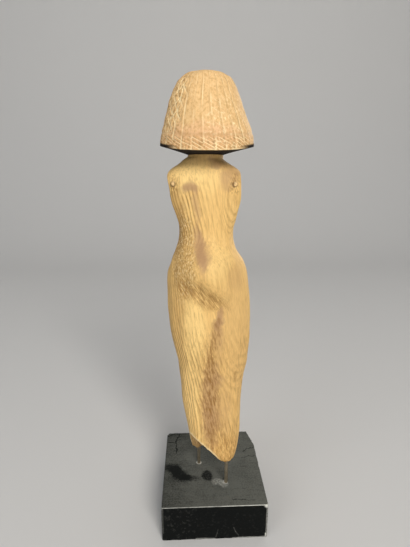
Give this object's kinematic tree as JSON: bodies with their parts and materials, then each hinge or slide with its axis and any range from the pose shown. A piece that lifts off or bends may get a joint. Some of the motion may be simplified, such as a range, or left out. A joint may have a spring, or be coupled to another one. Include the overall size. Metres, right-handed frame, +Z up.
{
  "type": "carved wooden figure on a stand",
  "caption": "Carved wooden standing woman without arms, in a heavy ribbed wig, broken off at the calves and held on slim pins above a black painted block.",
  "frame": {"origin": "centre of the block's underside", "axes": "+Z up; the figure's back is towards -Y and its face looks along +Y; +X is to the right of someone who looks at its back"},
  "size_m": [0.055, 0.059, 0.229],
  "materials": {
    "figure_wood": "old carved wood, worn smooth, with open grain and brown stains",
    "dowel_wood": "cut end grain, dull",
    "pin_metal": "dull, tarnished",
    "block_paint": "black paint over wood, satin on the sides, scuffed and dusty on top"
  },
  "bodies": {
    "root": {"figure": "figure_wood", "shoulder_peg_left": "dowel_wood", "shoulder_peg_right": "dowel_wood", "pin_left": "pin_metal", "pin_right": "pin_metal", "base_block": "block_paint"}
  },
  "joints": []
}
